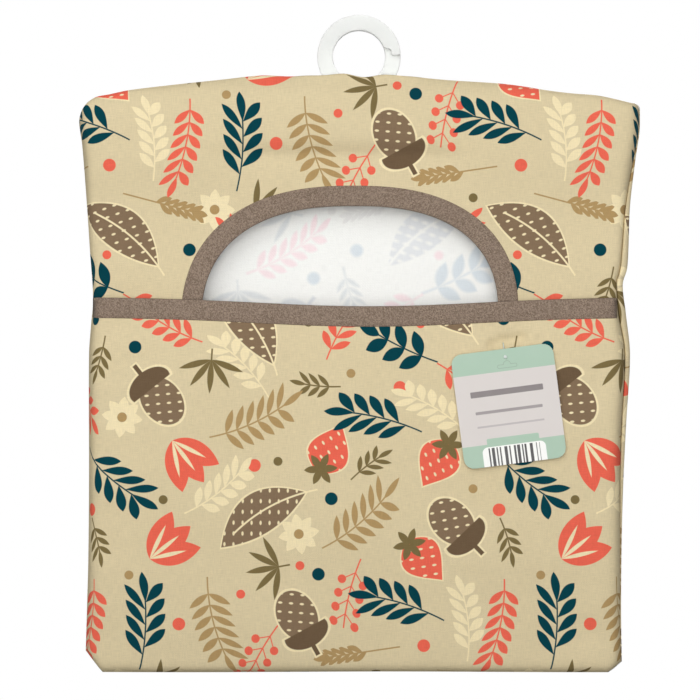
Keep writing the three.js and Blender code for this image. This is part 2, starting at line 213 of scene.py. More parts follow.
# Swing tag
TAG_SIZE = (54.8, 61.4)
TAG_CORNER = 5.4
TAG_TILT = math.radians(7.4)
TAG_OFFSET = (-1.6, -3.3)
TAG_HOLE_DROP = 7.6
TAG_HOLE_RADIUS = 0.8
TAG_BAND = 11.8
TAG_PRINT_EDGE = 0.15
TAG_RULES = ((22.5, 19.5, 1.6, 124), (32.5, 18, 0.8, 150), (40.0, 18, 0.5, 182))
TAG_PANEL = (17, 10.4)
TAG_TAB = (14, 14.8)
TAG_BARS_INSET = (3.2, 0.6)
TAG_BAR_SIZE = 1.7
TAG_SLOT_SIDE = 0.4
TAG_SLOT_DROP = 9.2
TAG_SLOT_HALF = (5.2, 0.9)
TAG_HUMP_DROP = 8.3
TAG_HUMP_RADIUS = 1.9

# Tag fastener: the bar's ends and the knob as (distance, radius) points
FILAMENT_RADIUS = 0.35
FILAMENT_BEND = 0.9
FILAMENT_BOW = 0.1
BAR_LENGTH = 9
BAR_BEHIND = 0.9
BAR_END = ((0.0, 0.2), (0.2, 0.42), (0.5, 0.5))
KNOB = ((0.75, 0.4), (0.6, 0.85), (0.4, 1.0), (0.2, 1.0), (0.06, 0.85), (0.0, 0.4))
KNOB_SINK = 0.3

# Mesh fineness
EDGE_STEPS = (0.05, 0.14, 0.3, 0.6, 1.2, 2.4, 4.4, 7.2)
GRID_STEP = 2.0
ARCH_COLUMNS = 230
YOKE_ROWS = 30
WRAP_STEPS = 7
BAND_STEP = 2.0
ARCH_STEPS = 160
YOKE_TOP_STEPS = 140
YOKE_SIDE_STEPS = 60
PLATE_CORNER_STEPS = 6
PLATE_TOP_STEPS = 29
HOOK_INNER_STEPS = 96
HOOK_OUTER_STEPS = 56
TAG_SPOKES = 96
TAG_CORNER_STEPS = 8
TAG_RINGS = (0.0, 0.03, 0.1, 0.3, 0.6, 1.0)
FILAMENT_STEPS = 24
FILAMENT_SIDES = 10
BAR_SIDES = 12
KNOB_SIDES = 20


def node_box(name):
    low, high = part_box(name)
    return low / MM, high / MM


def joint_place(name):
    joint = next(j for j in frame["joints"] if j["name"] == name)
    return Vector(joint["pos_m"]) / MM


# Places that the frame gives
plate_low, plate_high = node_box("front_hanger")
arch_low, arch_high = node_box("arch_binding")
tag_low, tag_high = node_box("swing_tag")
tag_pivot = joint_place("tag_turn")
fastener_front = node_box("tag_fastener")[0].y
bag_bottom = node_box("back_panel")[0].z
plate_half = plate_high.x
hook_outer_radius = HOOK_INNER_RADIUS + plate_high.z
mouth_middle = (arch_low.x + arch_high.x) / 2
mouth_half = (arch_high.x - arch_low.x) / 2 - BINDING_WIDTH + MOUTH_SPREAD
band_end = node_box("pocket_binding")[1].z
yoke_floor = band_end - YOKE_TUCK
mouth_rise = arch_high.z - BINDING_WIDTH - MOUTH_DROP - yoke_floor


# Numbers and curves
def lerp(a, b, t):
    return a + (b - a) * t


def smooth(t):
    t = min(max(t, 0.0), 1.0)
    return t * t * (3 - 2 * t)


def curve_through(points, place):
    """Value at a place on the smooth curve through a few (place, value) points."""
    places = [p for p, _ in points]
    values = [v for _, v in points]
    last = len(points) - 1
    if place <= places[0]:
        return values[0]
    if place >= places[last]:
        return values[last]
    i = bisect_right(places, place) - 1

    def slope(k):
        if k in (0, last):
            return 0.0
        return (values[k + 1] - values[k - 1]) / (places[k + 1] - places[k - 1])

    span = places[i + 1] - places[i]
    t = (place - places[i]) / span
    rise = smooth(t)
    bend = t * (1 - t) * span
    return lerp(values[i], values[i + 1], rise) + bend * (slope(i) * (1 - t) - slope(i + 1) * t)


def spread(length, count):
    """Distances from 0 to length: fine steps at both ends and count even ones between."""
    middle = length - 2 * EDGE_STEPS[-1]
    inner = [EDGE_STEPS[-1] + middle * i / count for i in range(1, count)]
    far = [length - step for step in reversed(EDGE_STEPS)]
    return [0.0, *EDGE_STEPS, *inner, *far, length]


def resample(points, count):
    """Points at equal distances along a line of points."""
    lengths = [0.0]
    for a, b in zip(points, points[1:]):
        lengths.append(lengths[-1] + (Vector(b) - Vector(a)).length)
    found = []
    for i in range(count + 1):
        place = lengths[-1] * i / count
        k = min(max(bisect_right(lengths, place) - 1, 0), len(points) - 2)
        share = (place - lengths[k]) / (lengths[k + 1] - lengths[k])
        found.append(Vector(points[k]).lerp(Vector(points[k + 1]), min(share, 1.0)))
    return found


# Outline of the bag
def left_seam(z):
    return curve_through(LEFT_SEAM, z)


def right_edge(z):
    return curve_through(RIGHT_EDGE, z)


def wrap_at(z):
    """How far the back panel comes round to the front at the right side."""
    return curve_through(SEAM_WRAP, z)


def right_seam(z):
    return right_edge(z) - wrap_at(z)


def groove_at(z):
    """How far the right seam is sunk below the cloth beside it."""
    return SEAM_GROOVE * min(wrap_at(z) / SEAM_GROOVE_WRAP, 1.0)


def plate_top_at(x):
    return PLATE_TOP - PLATE_DROP * (x / plate_half) ** 2


def rounded_drop(distance, corner):
    width, height = corner
    short = max(1 - distance / width, 0.0)
    return height * (1 - math.sqrt(1 - min(short, 1.0) ** 2))


def chamfer_rise(distance, corner):
    width, height, bow = corner
    return height * max(1 - distance / width, 0.0) ** bow


def top_at(x, from_left, from_right):
    near = math.exp(-(x / TOP_WAVE_REACH) ** 2)
    wave = -TOP_WAVE * math.sin((x + TOP_WAVE_SHIFT) / TOP_WAVE_LENGTH) * near
    shoulder = rounded_drop(from_left, LEFT_SHOULDER) + rounded_drop(from_right, RIGHT_SHOULDER)
    return curve_through(TOP_LINE, x) + TOP_EASE + wave - shoulder


def bottom_at(x, from_left, from_right):
    wave = HEM_WAVE * math.sin(x / HEM_WAVE_LENGTH + HEM_WAVE_PHASE)
    corner = chamfer_rise(from_left, LEFT_CORNER) + chamfer_rise(from_right, RIGHT_CORNER)
    return bag_bottom - HEM_DROP + HEM_WAVE + wave + corner


def band_top_at(x):
    return band_end - POCKET_SAG * math.exp(-((x - POCKET_SAG_MIDDLE) / POCKET_SAG_REACH) ** 2)


def side_gaps(x, z, right):
    """Distances from a place to the left seam and to a line at the right."""
    return max(x - left_seam(z), 0.0), max(right(z) - x, 0.0)


def end_gaps(x, z, from_left, from_right):
    """Distances from a place down from the top line and up from the hem."""
    drop = max(top_at(x, from_left, from_right) - z, 0.0)
    rise = max(z - bottom_at(x, from_left, from_right), 0.0)
    return drop, rise


# Depth of the cloth
def drape(x, z, seed):
    """Soft hollows of the hanging cloth, stilled where the binding holds it."""
    wide = noise.noise(Vector((x / DRAPE_WIDE_SIZE[0], z / DRAPE_WIDE_SIZE[1], seed)))
    fine = noise.noise(Vector((x / DRAPE_FINE_SIZE[0], z / DRAPE_FINE_SIZE[1], seed + 5)))
    from_band = abs(z - band_end + BINDING_WIDTH / 2)
    free = lerp(DRAPE_AT_BAND, 1.0, smooth(from_band / DRAPE_BAND_REACH))
    return (DRAPE_WIDE * wide + DRAPE_FINE * fine) * free


def seam_pucker(along, distance, seed):
    """Ripples where the stitching draws a seam up, fading away from it."""
    ripple = noise.noise(Vector((along / SEAM_PUCKER_PITCH, seed, distance / SEAM_PUCKER_DEPTH)))
    rise = distance / SEAM_PUCKER_REACH
    return SEAM_PUCKER * ripple * rise * math.exp(1 - rise)


def slit_share(x):
    return smooth((SLIT_HALF + SLIT_EASE - abs(x)) / SLIT_EASE)


def crease_at(x, z):
    """The fold where the cloth drops past the lower edge of the hangers."""
    reach = smooth((CREASE_HALF + CREASE_EASE - abs(x - CREASE_MIDDLE)) / CREASE_EASE)
    sway = noise.noise(Vector((x / CREASE_SWAY_SIZE, CREASE_SWAY_SEED, 0.0)))
    below = plate_low.z - CREASE_DROP - z + CREASE_SWAY * sway
    width = CREASE_ABOVE if below < 0 else CREASE_BELOW
    fading = noise.noise(Vector((x / CREASE_FADE_SIZE, CREASE_FADE_SEED, 0.0)))
    strength = reach * (1 - CREASE_FADE + CREASE_FADE * fading)
    return CREASE_DEPTH * strength * math.exp(-(abs(below) / width) ** CREASE_KEEN)


def pucker_at(x, z):
    """Short folds that run out from the place where the tag is fastened."""
    place = Vector((x - tag_pivot.x, z - tag_pivot.z))
    depth = 0.0
    for start, end, fold_depth, half_width in TAG_FOLDS:
        run = Vector(end) - Vector(start)
        share = min(max((place - Vector(start)).dot(run) / run.length_squared, 0.0), 1.0)
        distance = (place - Vector(start) - run * share).length
        depth += fold_depth * math.exp(-(distance / half_width) ** 2)
    return depth


def edge_share(x, z, from_left, from_right):
    """How far the cloth has risen from its seams at a place, from 0 to 1."""
    drop, rise = end_gaps(x, z, from_left, from_right)
    roof = lerp(drop / (drop + ROOF_ROUND), 1.0, slit_share(x))
    sides = (1 - math.exp(-from_left / SIDE_ROUND)) * (1 - math.exp(-from_right / SIDE_ROUND))
    return roof * sides * (1 - math.exp(-rise / HEM_ROUND))


def folds(x, z, from_left, from_right, seed):
    sides = seam_pucker(z, from_left, seed) + seam_pucker(z, from_right, seed + 3)
    hem = seam_pucker(x, max(z - bottom_at(x, from_left, from_right), 0.0), seed + 6)
    return drape(x, z, seed) + sides + hem


def flat_place(x, z, depth):
    """Where a point of the bag lies on its cloth, which runs on over the roof, the sides and the hem."""
    from_left, from_right = side_gaps(x, z, right_edge)
    drop, rise = end_gaps(x, z, from_left, from_right)
    sides = math.exp(-from_right / SIDE_ROUND) - math.exp(-from_left / SIDE_ROUND)
    roof = depth * ROOF_ROUND / (drop + ROOF_ROUND)
    hem = SIDE_STRETCH * depth * math.exp(-rise / HEM_ROUND)
    return (x + SIDE_STRETCH * depth * sides, z + roof - hem)


def front_y(x, z, depth, seed, least=0.0):
    """Depth of the front cloth, which is never much less than the least one."""
    from_left, from_right = side_gaps(x, z, right_seam)
    share = edge_share(x, z, from_left, from_right)
    wrap = SEAM_LIFT * wrap_at(z) * math.exp(-from_right / SIDE_ROUND)
    groove = groove_at(z) * math.exp(-from_right / SEAM_GROOVE_HALF)
    spare = depth + folds(x, z, from_left, from_right, seed) - least
    eased = least + (spare + math.hypot(spare, DEPTH_EASE)) / 2
    return -eased * share - wrap + groove


def yoke_y(x, z):
    return front_y(x, z, curve_through(YOKE_DEPTH, z) - crease_at(x, z), YOKE_SEED, YOKE_LEAST)


def pocket_y(x, z):
    return front_y(x, z, curve_through(POCKET_DEPTH, z) - pucker_at(x, z), POCKET_SEED)


def back_y(x, z):
    from_left, from_right = side_gaps(x, z, right_edge)
    below_top = smooth((SLIT_ROOM_TOP - z) / SLIT_ROOM_TOP_EASE)
    above_foot = smooth((z - SLIT_ROOM_FOOT) / SLIT_ROOM_FOOT_EASE)
    room = SLIT_BACK_ROOM * slit_share(x) * below_top * above_foot
    depth = curve_through(BACK_DEPTH, z) + room + BACK_FOLDS * folds(x, z, from_left, from_right, BACK_SEED)
    return depth * edge_share(x, z, from_left, from_right)


# Meshes
def grid_faces(rows, columns, flip=False):
    faces = []
    for r in range(rows - 1):
        for c in range(columns - 1):
            a = r * columns + c
            face = (a, a + columns, a + columns + 1, a + 1)
            faces.append(face[::-1] if flip else face)
    return faces


def add_object(name, data):
    found = bpy.data.objects.new(name, data)
    bpy.context.scene.collection.objects.link(found)
    return found


def make_piece(name, points, faces, materials, body):
    mesh = bpy.data.meshes.new(name)
    mesh.from_pydata([Vector(p) * MM for p in points], [], faces)
    for material in materials:
        mesh.materials.append(material)
    mesh.shade_smooth()
    piece = add_object(name, mesh)
    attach(piece, body)
    return piece


def mark_places(piece, places):
    """Keep each point's place on its own flat material, in millimetres, for the shader."""
    marks = piece.data.attributes.new("flat_place", "FLOAT_VECTOR", "POINT")
    for mark, (across, up) in zip(marks.data, places):
        mark.vector = (across, up, 0.0)


def thicken(piece, thickness, inner_material=0, rim_material=0):
    layer = piece.modifiers.new("thickness", "SOLIDIFY")
    layer.thickness = thickness * MM
    layer.offset = -1
    layer.material_offset = inner_material
    layer.material_offset_rim = rim_material


def thin_seams(piece):
    """Let the cloth's thickness run out where two panels meet at a seam."""
    shares = piece.vertex_groups.new(name="thickness")
    for vertex in piece.data.vertices:
        shares.add([vertex.index], min(abs(vertex.co.y) / (SEAM_THIN * MM), 1.0), "REPLACE")
    piece.modifiers["thickness"].vertex_group = shares.name


def tube(points, radii, sides):
    """A closed tube through points, with a radius at each, as (points, faces)."""
    found = []
    for i, centre in enumerate(points):
        before = Vector(points[max(i - 1, 0)])
        after = Vector(points[min(i + 1, len(points) - 1)])
        along = (after - before).normalized()
        guide = Vector((0, 1, 0)) if abs(along.y) < 0.9 else Vector((1, 0, 0))
        across = along.cross(guide).normalized()
        up = across.cross(along)
        for k in range(sides):
            angle = 2 * math.pi * k / sides
            found.append(Vector(centre) + radii[i] * (math.cos(angle) * across + math.sin(angle) * up))
    faces = []
    for i in range(len(points) - 1):
        for k in range(sides):
            a = i * sides + k
            b = i * sides + (k + 1) % sides
            faces.append((a, b, b + sides, a + sides))
    last = (len(points) - 1) * sides
    faces.append(tuple(reversed(range(sides))))
    faces.append(tuple(range(last, last + sides)))
    return found, faces


def join_shapes(shapes):
    points = []
    faces = []
    for shape_points, shape_faces in shapes:
        start = len(points)
        points.extend(shape_points)
        faces.extend(tuple(i + start for i in face) for face in shape_faces)
    return points, faces


# Shader graphs
class Graph:
    """Short ways to add nodes to one node tree."""

    def __init__(self, tree, material=None):
        self.tree = tree
        self.material = material
        self.sharpness = None

    def feed(self, socket, value):
        if isinstance(value, bpy.types.NodeSocket):
            self.tree.links.new(value, socket)
        else:
            socket.default_value = value

    def add(self, kind, *values, **settings):
        node = self.tree.nodes.new(kind)
        for key, value in settings.items():
            setattr(node, key, value)
        for socket, value in zip(node.inputs, values):
            self.feed(socket, value)
        return node

    def math(self, operation, *values, clamp=False):
        return self.add("ShaderNodeMath", *values, operation=operation, use_clamp=clamp).outputs[0]

    plus = partialmethod(math, "ADD")
    minus = partialmethod(math, "SUBTRACT")
    times = partialmethod(math, "MULTIPLY")
    times_plus = partialmethod(math, "MULTIPLY_ADD")
    least = partialmethod(math, "MINIMUM")
    most = partialmethod(math, "MAXIMUM")
    magnitude = partialmethod(math, "ABSOLUTE")
    sine = partialmethod(math, "SINE")

    def vector(self, operation, *values):
        node = self.add("ShaderNodeVectorMath", *values, operation=operation)
        return node.outputs["Value" if operation in ("LENGTH", "DISTANCE") else "Vector"]

    def mix(self, factor, first, second):
        node = self.add("ShaderNodeMix", data_type="RGBA")
        for index, value in ((0, factor), (6, first), (7, second)):
            self.feed(node.inputs[index], value)
        return node.outputs[2]

    def cover(self, under, distance, ink, grow=0.0):
        """A colour with ink over it where a distance is below 0, or below grow."""
        edge = self.minus(distance, grow) if grow else distance
        return self.mix(self.times_plus(edge, self.sharpness, 0.5, clamp=True), under, ink)

    def place(self):
        return self.add("ShaderNodeAttribute", attribute_name="flat_place").outputs["Vector"]

    def axes(self, place):
        return self.add("ShaderNodeSeparateXYZ", place).outputs[:2]

    def noise(self, place, size, detail=2.0):
        """Noise from 0 to 1 whose patches have the given size across and up."""
        scaled = self.vector("DIVIDE", place, (size[0], size[1], 1.0))
        node = self.add("ShaderNodeTexNoise", scaled, noise_dimensions="2D")
        node.inputs["Scale"].default_value = 1.0
        node.inputs["Detail"].default_value = detail
        return node.outputs["Fac"]

    def between(self, value, low, high):
        """A value from 0 to 1 moved to the range from low to high."""
        return self.times_plus(value, high - low, low)

    def finish(self, colour, roughness, height, relief, specular, others=None):
        """The material, with relief in millimetres and any other inputs of its shader."""
        shader = self.add("ShaderNodeBsdfPrincipled")
        looks = {"Base Color": colour, "Roughness": roughness, "Specular IOR Level": specular}
        looks.update(others or {})
        for name, value in looks.items():
            self.feed(shader.inputs[name], value)
        bump = self.add("ShaderNodeBump")
        bump.inputs["Distance"].default_value = relief * MM
        bump.inputs["Strength"].default_value = 1.0
        self.feed(bump.inputs["Height"], height)
        self.feed(shader.inputs["Normal"], bump.outputs[0])
        self.add("ShaderNodeOutputMaterial", shader.outputs[0])
        return self.material


def new_material(name):
    material = bpy.data.materials.new(name)
    material.use_nodes = True
    material.node_tree.nodes.clear()
    return Graph(material.node_tree, material)


def srgb(red, green, blue):
    """A linear colour from the 0 to 255 values of a screen."""

    def linear(value):
        share = value / 255
        return share / 12.92 if share <= 0.04045 else ((share + 0.055) / 1.055) ** 2.4

    return (linear(red), linear(green), linear(blue), 1.0)


# Colours of the cloth and its print
GROUND = srgb(218, 202, 164)
TEAL = srgb(0, 62, 72)
CORAL = srgb(235, 104, 83)
TAUPE = srgb(132, 110, 86)
BARK = srgb(108, 88, 66)
TAN = srgb(176, 146, 98)
OLIVE = srgb(122, 106, 68)
CREAM = srgb(240, 224, 182)
REVERSE = srgb(250, 250, 246)
SHOW_THROUGH = (0.23, 0.19, 0.135)

CARD_MINT = srgb(163, 190, 169)
CARD_GREY = srgb(211, 204, 200)
CARD_WHITE = srgb(246, 246, 242)

# Print: one square repeat, filled by motifs as (kind, ink, half length, half width, count)
PRINT_REPEAT = 220
PRINT_SEED = 11
PRINT_EDGE = 0.28
REVERSE_EDGE = 1.8
BACK_PRINT_SHIFT = 128
POCKET_PRINT_SHIFT = (52, 37)
MOTIFS = (
    ("leaf", TAUPE, 29, 11, 3),
    ("acorn", BARK, 20, 12, 3),
    ("fern", TEAL, 24, 12, 4),
    ("feather", TAN, 26, 11, 3),
    ("spray", CORAL, 24, 9, 4),
    ("tulip", CORAL, 17, 13, 2),
    ("strawberry", CORAL, 16, 12, 3),
    ("laurel", TEAL, 21, 12, 2),
    ("berries", CORAL, 19, 9, 2),
    ("wheat", TAN, 20, 6, 2),
    ("fan", OLIVE, 12, 11, 3),
    ("herb", OLIVE, 13, 8, 4),
    ("frond", CREAM, 20, 9, 4),
    ("daisy", CREAM, 11, 11, 3),
    ("large_dot", CORAL, 3.4, 3.4, 5),
    ("large_dot", TEAL, 3.4, 3.4, 4),
    ("small_dot", TAN, 2.5, 2.5, 4),
    ("small_dot", OLIVE, 2.5, 2.5, 4),
    ("small_dot", CORAL, 2.5, 2.5, 4),
)
LAYOUT_TRIES = 260
INK_SPACING = 14
LEAF_FOOT = -1.3
SPRIG_STEM = 0.4
BERRY_STEM = 0.3
DASH_TURN = math.radians(33)
DASH_SPACING = (2.9, 2.4)
DASH_RADII = (1.15, 0.6)


def capsule(centre, turn, half_length, half_width):
    """Circles that cover a long motif, as (x, y, radius)."""
    reach = half_length - half_width
    across = -math.sin(turn) * reach
    up = math.cos(turn) * reach
    return [(centre[0] + across * share, centre[1] + up * share, half_width) for share in (-1.0, 0.0, 1.0)]


def clearance(circles, others):
    """Least gap from some circles to others on the repeating print."""
    half = PRINT_REPEAT / 2
    least = PRINT_REPEAT
    for x, y, radius in circles:
        for other_x, other_y, other_radius in others:
            across = (x - other_x + half) % PRINT_REPEAT - half
            up = (y - other_y + half) % PRINT_REPEAT - half
            least = min(least, math.hypot(across, up) - radius - other_radius)
    return least


def lay_out_print():
    """Each motif as (kind, ink, centre, turn), each put where it has the most room."""
    draw = random.Random(PRINT_SEED)
    taken = []
    by_ink = {ink: [] for _, ink, _, _, _ in MOTIFS}
    placed = []
    for kind, ink, half_length, half_width, count in MOTIFS:
        for _ in range(count):
            tries = []
            for _ in range(LAYOUT_TRIES):
                centre = (draw.uniform(0, PRINT_REPEAT), draw.uniform(0, PRINT_REPEAT))
                turn = draw.uniform(-math.pi, math.pi)
                circles = capsule(centre, turn, half_length, half_width)
                room = min(clearance(circles, taken), clearance(circles, by_ink[ink]) - INK_SPACING)
                tries.append((room, centre, turn, circles))
            _, centre, turn, circles = max(tries)
            taken.extend(circles)
            by_ink[ink].extend(circles)
            placed.append((kind, ink, centre, turn))
    return placed


# Outlines of the motifs, as distances that are below 0 inside
def pod(graph, across, along, length, half_width, skew=0.0):
    """A pointed leaf that runs from 0 to length, widest past its middle where it is skewed."""
    share = graph.times_plus(along, 2 / length, -1.0)
    if skew:
        share = graph.most(share, LEAF_FOOT)
    bow = graph.times_plus(share, share, -1.0)
    if skew:
        bow = graph.times(bow, graph.times_plus(share, skew, 1.0))
    return graph.times_plus(bow, half_width, across)


def stalk(graph, side, y, low, high, half_width):
    middle = graph.magnitude(graph.minus(y, (low + high) / 2))
    ends = graph.minus(middle, (high - low) / 2 - half_width)
    return graph.minus(graph.most(side, ends), half_width)


def ellipse(graph, place, centre, radii):
    moved = graph.vector("SUBTRACT", place, (*centre, 0.0))
    scaled = graph.vector("DIVIDE", moved, (*radii, 1.0))
    return graph.times_plus(graph.vector("LENGTH", scaled), min(radii), -min(radii))


def sprig(graph, x, y, pairs, spacing, lean, leaf, tail, bend=0.0, skew=0.0, alternate=False, berries=False):
    """A stem with leaves on both sides, as (length, half width), the lowest rooted at 0.

    They lean out by some degrees, and berries on stalks may take their place.
    """
    angle = math.radians(lean)
    leaf_length, leaf_half_width = leaf
    if bend:
        x = graph.times_plus(graph.times(y, y), bend, x)
    side = graph.magnitude(x)
    rooted = y
    if alternate:
        rooted = graph.times_plus(graph.math("GREATER_THAN", x, 0.0), -spacing / 2, y)
    root = graph.times_plus(side, -1 / math.tan(angle), rooted)
    index = graph.math("ROUND", graph.math("DIVIDE", root, spacing))
    index = graph.least(graph.most(index, 0.0), pairs - 1)
    offset = graph.times_plus(index, -spacing, root)
    along = graph.times_plus(side, 1 / math.sin(angle), graph.times(offset, math.cos(angle)))
    across = graph.magnitude(graph.times(offset, math.sin(angle)))
    top = (pairs - 1) * spacing
    if berries:
        far = graph.minus(along, leaf_length)
        square = graph.times_plus(far, far, graph.times(across, across))
        leaves = graph.minus(graph.math("SQRT", square), leaf_half_width)
        stems = graph.minus(graph.most(across, far), BERRY_STEM)
        leaves = graph.least(leaves, stems)
    else:
        leaves = pod(graph, across, along, leaf_length, leaf_half_width, skew)
        tip = graph.minus(y, top + spacing / 2)
        leaves = graph.least(leaves, pod(graph, side, tip, leaf_length, leaf_half_width, skew))
    return graph.least(leaves, stalk(graph, side, y, -tail, top + spacing, SPRIG_STEM))


def whorl(graph, place, x, y, step, length, half_width, limit=None):
    """Leaves or petals that fan out from 0, a step apart, up to a limit on each side of the middle one."""
    angle = graph.math("ARCTAN2", x, y)
    index = graph.math("ROUND", graph.math("DIVIDE", angle, step))
    if limit is not None:
        index = graph.least(graph.most(index, -limit), limit)
    offset = graph.times_plus(index, -step, angle)
    radius = graph.vector("LENGTH", place)
    across = graph.magnitude(graph.times(offset, radius))
    return pod(graph, across, radius, length, half_width)


def dashes(graph, place):
    """Small slanting dashes in rows."""
    turned = graph.add("ShaderNodeMapping", place, vector_type="POINT")
    turned.inputs["Rotation"].default_value = (0, 0, DASH_TURN)
    across, up = DASH_SPACING
    wrapped = graph.vector("WRAP", turned.outputs[0], (across, up, 1.0), (-across, -up, -1.0))
    return ellipse(graph, wrapped, (0, 0), DASH_RADII)


# Motifs: each paints over the colour under it
def paint_leaf(graph, place, x, y, under, ink):
    side = graph.magnitude(graph.times_plus(graph.times(y, y), 0.006, x))
    body = pod(graph, side, graph.plus(y, 26), 54, 11)
    colour = graph.cover(under, body, CREAM, 1.0)
    colour = graph.cover(colour, body, ink)
    colour = graph.cover(colour, graph.most(dashes(graph, place), body), CREAM)
    return graph.cover(colour, stalk(graph, side, y, -32, 18, 0.5), CREAM)


def paint_acorn(graph, place, x, y, under, ink):
    nut = ellipse(graph, place, (0, -4), (10.5, 14))
    cup = graph.most(ellipse(graph, place, (0, 6.5), (12.5, 8)), graph.minus(4.5, y))
    cup = graph.least(cup, stalk(graph, graph.magnitude(x), y, 10, 20, 1.2))
    colour = graph.cover(under, graph.least(nut, cup), CREAM, 1.0)
    colour = graph.cover(colour, nut, TAUPE)
    colour = graph.cover(colour, graph.most(dashes(graph, place), nut), CREAM)
    return graph.cover(colour, cup, ink)


def paint_strawberry(graph, place, x, y, under, ink):
    fruit = pod(graph, graph.magnitude(x), graph.plus(y, 16), 29, 10.5, 0.45)
    colour = graph.cover(under, fruit, CREAM, 0.9)
    colour = graph.cover(colour, fruit, ink)
    colour = graph.cover(colour, graph.most(dashes(graph, place), fruit), CREAM)
    crown = graph.vector("SUBTRACT", place, (0.0, 10.0, 0.0))
    crown_y = graph.minus(y, 10)
    leaves = whorl(graph, crown, x, crown_y, math.pi / 3, 9, 2.0)
    return graph.cover(colour, leaves, OLIVE)


def paint_tulip(graph, place, x, y, under, ink):
    foot = graph.vector("ADD", place, (0.0, 12.0, 0.0))
    foot_y = graph.plus(y, 12)
    colour = graph.cover(under, whorl(graph, foot, x, foot_y, math.radians(26), 28, 6.5, 1), ink)
    return graph.cover(colour, whorl(graph, foot, x, foot_y, math.radians(26), 20, 1.1, 1), CREAM)


def paint_daisy(graph, place, x, y, under, ink):
    colour = graph.cover(under, whorl(graph, place, x, y, math.pi / 4, 11, 3.2), ink)
    return graph.cover(colour, ellipse(graph, place, (0, 0), (2.6, 2.6)), TAN)


def paint_fan(graph, place, x, y, under, ink):
    foot = graph.vector("ADD", place, (0.0, 8.0, 0.0))
    foot_y = graph.plus(y, 8)
    leaves = whorl(graph, foot, x, foot_y, math.radians(36), 18, 1.7, 2)
    stem = stalk(graph, graph.magnitude(x), foot_y, -6, 2, 0.45)
    return graph.cover(under, graph.least(leaves, stem), ink)


def paint_sprig(root, **form):
    def paint(graph, place, x, y, under, ink):
        return graph.cover(under, sprig(graph, x, graph.plus(y, root), **form), ink)

    return paint


def paint_dot(radius):
    def paint(graph, place, x, y, under, ink):
        return graph.cover(under, ellipse(graph, place, (0, 0), (radius, radius)), ink)

    return paint


PAINTERS = {
    "leaf": paint_leaf,
    "acorn": paint_acorn,
    "strawberry": paint_strawberry,
    "tulip": paint_tulip,
    "daisy": paint_daisy,
    "fan": paint_fan,
    "large_dot": paint_dot(3.4),
    "small_dot": paint_dot(2.4),
    "fern": paint_sprig(14, pairs=4, spacing=8, lean=42, leaf=(16, 2.3), tail=9, bend=0.004, skew=0.45,
                        alternate=True),
    "laurel": paint_sprig(11, pairs=3, spacing=10, lean=50, leaf=(14, 3.2), tail=9, bend=-0.003),
    "spray": paint_sprig(18, pairs=6, spacing=6.6, lean=46, leaf=(11, 1.9), tail=6, bend=-0.005, skew=0.3),
    "feather": paint_sprig(16, pairs=6, spacing=6, lean=58, leaf=(13, 1.8), tail=9, bend=0.005),
    "wheat": paint_sprig(1, pairs=5, spacing=4.4, lean=28, leaf=(9, 1.8), tail=18, skew=0.3, alternate=True),
    "herb": paint_sprig(7, pairs=3, spacing=5, lean=44, leaf=(9, 1.3), tail=6, bend=-0.006),
    "frond": paint_sprig(11, pairs=5, spacing=6.2, lean=48, leaf=(11, 2.1), tail=7, bend=0.006, skew=0.3,
                         alternate=True),
    "berries": paint_sprig(11, pairs=4, spacing=7.5, lean=48, leaf=(8, 2.3), tail=8, bend=0.004,
                           berries=True),
}


def motif_group(kind):
    """A motif as a node group about its own middle."""
    tree = bpy.data.node_groups.new(f"{kind}_motif", "ShaderNodeTree")
    for name, form in (("Place", "Vector"), ("Under", "Color"), ("Ink", "Color"), ("Sharpness", "Float")):
        tree.interface.new_socket(name, in_out="INPUT", socket_type=f"NodeSocket{form}")
    tree.interface.new_socket("Colour", in_out="OUTPUT", socket_type="NodeSocketColor")
    graph = Graph(tree)
    place, under, ink, graph.sharpness = graph.add("NodeGroupInput").outputs[:4]
    x, y = graph.axes(place)
    graph.add("NodeGroupOutput", PAINTERS[kind](graph, place, x, y, under, ink))
    return tree


PRINT_LAYOUT = lay_out_print()
MOTIF_GROUPS = {kind: motif_group(kind) for kind in PAINTERS}


def print_colour(graph, place, edge):
    """The printed cotton's colour, each motif drawn over the later ones of the layout."""
    half = PRINT_REPEAT / 2
    colour = GROUND
    for kind, ink, (x, y), turn in reversed(PRINT_LAYOUT):
        near = graph.vector("WRAP", place, (x + half, y + half, 1.0), (x - half, y - half, -1.0))
        turned = graph.add("ShaderNodeMapping", near, (x, y, 0.0), (0.0, 0.0, turn), vector_type="TEXTURE")
        motif = graph.add("ShaderNodeGroup", node_tree=MOTIF_GROUPS[kind])
        for socket, value in zip(motif.inputs, (turned.outputs[0], colour, ink, -1 / edge)):
            graph.feed(socket, value)
        colour = motif.outputs[0]
    return colour


# Materials
WEAVE_PITCH = 0.42
TAPE_WEAVE_PITCH = 0.36
WEAVE_RELIEF = 0.06
WARP_SWAY = 9.0
WEFT_SWAY = 7.0
SLUB_LENGTH = 5.0
SLUB_WIDTH = 0.36
THREAD_TWIST = 22.0


def weave_height(graph, place, pitch):
    """Height of a plain weave with the given thread spacing, loosened by slubs."""
    sway = graph.noise(place, (4.0, 4.0), 1.0)
    turns = math.pi / pitch
    x, y = graph.axes(place)
    warp = graph.sine(graph.times_plus(x, turns, graph.times(sway, WARP_SWAY)))
    weft = graph.sine(graph.times_plus(y, turns, graph.times(sway, WEFT_SWAY)))
    return graph.times(warp, weft)


